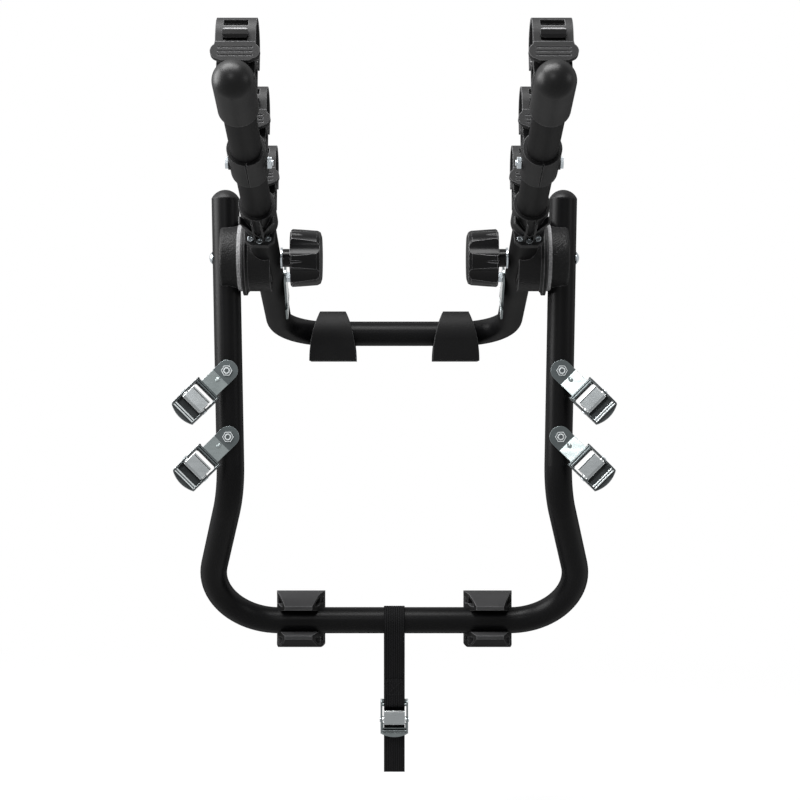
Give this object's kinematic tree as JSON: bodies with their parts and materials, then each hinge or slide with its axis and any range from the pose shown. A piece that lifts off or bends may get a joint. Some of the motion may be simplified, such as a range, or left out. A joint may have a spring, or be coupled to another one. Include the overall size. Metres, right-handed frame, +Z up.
{
  "type": "trunk mounted bike rack",
  "caption": "Folding trunk mounted bike rack: two bent tube frames clamped at knob hubs, with cradled carrying arms, rubber feet, cam buckles and a centre strap.",
  "frame": {"origin": "midway between the lower feet, on the upright plane that their bases rest on, at the height of the lower bar", "axes": "+Z up, +Y towards the vehicle, +X to the right as seen from behind the vehicle"},
  "size_m": [0.5034, 0.7376, 0.8106],
  "materials": {
    "tube_paint": "satin powder coat",
    "cap_plastic": "satin",
    "hub_plastic": "fine grain",
    "knob_plastic": "gloss",
    "cradle_plastic": "satin",
    "band_rubber": "matte",
    "foot_rubber": "matte",
    "zinc_steel": "zinc plated",
    "pressed_steel": "zinc plated",
    "webbing": "woven"
  },
  "bodies": {
    "lower": {"lower_frame": "tube_paint", "leg_cap_left": "cap_plastic", "leg_cap_right": "cap_plastic", "hub_outer_left": "hub_plastic", "hub_outer_right": "hub_plastic", "hub_bolt_left": "zinc_steel", "hub_bolt_right": "zinc_steel", "buckle_bolts": "zinc_steel"},
    "upper": {"upper_frame": "tube_paint", "hub_inner_left": "hub_plastic", "hub_inner_right": "hub_plastic", "hub_washers": "zinc_steel", "cradle_outer_left": "cradle_plastic", "cradle_outer_right": "cradle_plastic", "cradle_middle_left": "cradle_plastic", "cradle_middle_right": "cradle_plastic", "cradle_inner_left": "cradle_plastic", "cradle_inner_right": "cradle_plastic", "band_outer_left": "band_rubber", "band_outer_right": "band_rubber", "band_middle_left": "band_rubber", "band_middle_right": "band_rubber", "band_inner_left": "band_rubber", "band_inner_right": "band_rubber", "cradle_cross_bolts": "zinc_steel", "cradle_screws": "zinc_steel", "anchor_bolts": "zinc_steel"},
    "knob_left": {"knob_left": "knob_plastic", "knob_nut_left": "zinc_steel"},
    "foot_lower_left": {"foot_lower_left": "foot_rubber"},
    "foot_upper_left": {"foot_upper_left": "foot_rubber"},
    "strap_anchor_left": {"strap_anchor_left": "pressed_steel"},
    "buckle_left_upper": {"buckle_left_upper": "pressed_steel", "pin_left_upper": "zinc_steel"},
    "lever_left_upper": {"lever_left_upper": "pressed_steel", "spring_left_upper": "zinc_steel"},
    "buckle_left_lower": {"buckle_left_lower": "pressed_steel", "pin_left_lower": "zinc_steel"},
    "lever_left_lower": {"lever_left_lower": "pressed_steel", "spring_left_lower": "zinc_steel"},
    "knob_right": {"knob_right": "knob_plastic", "knob_nut_right": "zinc_steel"},
    "foot_lower_right": {"foot_lower_right": "foot_rubber"},
    "foot_upper_right": {"foot_upper_right": "foot_rubber"},
    "strap_anchor_right": {"strap_anchor_right": "pressed_steel"},
    "buckle_right_upper": {"buckle_right_upper": "pressed_steel", "pin_right_upper": "zinc_steel"},
    "lever_right_upper": {"lever_right_upper": "pressed_steel", "spring_right_upper": "zinc_steel"},
    "buckle_right_lower": {"buckle_right_lower": "pressed_steel", "pin_right_lower": "zinc_steel"},
    "lever_right_lower": {"lever_right_lower": "pressed_steel", "spring_right_lower": "zinc_steel"},
    "strap": {"centre_strap": "webbing", "buckle_centre": "pressed_steel", "pin_centre": "zinc_steel"},
    "lever_centre": {"lever_centre": "pressed_steel", "spring_centre": "zinc_steel"}
  },
  "joints": [
    {"name": "arm_fold", "type": "hinge", "parent": "lower", "child": "upper", "pos_m": [0, -0.16, 0.4314], "axis": [1, 0, 0], "range_deg": [-70, 100]},
    {"name": "knob_left_turn", "type": "hinge", "parent": "lower", "child": "knob_left", "pos_m": [-0.1, -0.16, 0.4314], "axis": [1, 0, 0], "continuous": true},
    {"name": "foot_lower_left_turn", "type": "hinge", "parent": "lower", "child": "foot_lower_left", "pos_m": [-0.1115, -0.0355, 0], "axis": [1, 0, 0], "range_deg": [-40, 40]},
    {"name": "foot_upper_left_turn", "type": "hinge", "parent": "upper", "child": "foot_upper_left", "pos_m": [-0.079, 0.10032, 0.35429], "axis": [1, 0, 0], "range_deg": [-40, 40]},
    {"name": "strap_anchor_left_turn", "type": "hinge", "parent": "upper", "child": "strap_anchor_left", "pos_m": [-0.1285, -0.10027, 0.41371], "axis": [1, 0, 0], "range_deg": [-30, 30]},
    {"name": "buckle_left_upper_turn", "type": "hinge", "parent": "lower", "child": "buckle_left_upper", "pos_m": [-0.19016, -0.17588, 0.3018], "axis": [0, 1, 0], "range_deg": [-12, 60]},
    {"name": "lever_left_upper_press", "type": "hinge", "parent": "buckle_left_upper", "child": "lever_left_upper", "pos_m": [-0.22577, -0.19532, 0.26619], "axis": [-0.7071, 0, 0.7071], "range_deg": [0, 30], "stiffness_Nm_per_rad": 0.4, "springref_deg": -8.59},
    {"name": "buckle_left_lower_turn", "type": "hinge", "parent": "lower", "child": "buckle_left_lower", "pos_m": [-0.18874, -0.17588, 0.2266], "axis": [0, 1, 0], "range_deg": [-40, 12]},
    {"name": "lever_left_lower_press", "type": "hinge", "parent": "buckle_left_lower", "child": "lever_left_lower", "pos_m": [-0.22435, -0.19532, 0.19099], "axis": [-0.7071, 0, 0.7071], "range_deg": [0, 30], "stiffness_Nm_per_rad": 0.4, "springref_deg": -8.59},
    {"name": "knob_right_turn", "type": "hinge", "parent": "lower", "child": "knob_right", "pos_m": [0.1, -0.16, 0.4314], "axis": [1, 0, 0], "continuous": true},
    {"name": "foot_lower_right_turn", "type": "hinge", "parent": "lower", "child": "foot_lower_right", "pos_m": [0.1115, -0.0355, 0], "axis": [1, 0, 0], "range_deg": [-40, 40]},
    {"name": "foot_upper_right_turn", "type": "hinge", "parent": "upper", "child": "foot_upper_right", "pos_m": [0.079, 0.10032, 0.35429], "axis": [1, 0, 0], "range_deg": [-40, 40]},
    {"name": "strap_anchor_right_turn", "type": "hinge", "parent": "upper", "child": "strap_anchor_right", "pos_m": [0.1285, -0.10027, 0.41371], "axis": [1, 0, 0], "range_deg": [-30, 30]},
    {"name": "buckle_right_upper_turn", "type": "hinge", "parent": "lower", "child": "buckle_right_upper", "pos_m": [0.19016, -0.17588, 0.3018], "axis": [0, -1, 0], "range_deg": [-12, 60]},
    {"name": "lever_right_upper_press", "type": "hinge", "parent": "buckle_right_upper", "child": "lever_right_upper", "pos_m": [0.22577, -0.19532, 0.26619], "axis": [-0.7071, 0, -0.7071], "range_deg": [0, 30], "stiffness_Nm_per_rad": 0.4, "springref_deg": -8.59},
    {"name": "buckle_right_lower_turn", "type": "hinge", "parent": "lower", "child": "buckle_right_lower", "pos_m": [0.18874, -0.17588, 0.2266], "axis": [0, -1, 0], "range_deg": [-40, 12]},
    {"name": "lever_right_lower_press", "type": "hinge", "parent": "buckle_right_lower", "child": "lever_right_lower", "pos_m": [0.22435, -0.19532, 0.19099], "axis": [-0.7071, 0, -0.7071], "range_deg": [0, 30], "stiffness_Nm_per_rad": 0.4, "springref_deg": -8.59},
    {"name": "strap_swing", "type": "hinge", "parent": "lower", "child": "strap", "pos_m": [0, -0.0355, 0], "axis": [1, 0, 0], "range_deg": [-60, 60]},
    {"name": "lever_centre_press", "type": "hinge", "parent": "strap", "child": "lever_centre", "pos_m": [0, -0.0387, -0.1204], "axis": [-1, 0, 0], "range_deg": [0, 30], "stiffness_Nm_per_rad": 0.4, "springref_deg": -8.59}
  ]
}
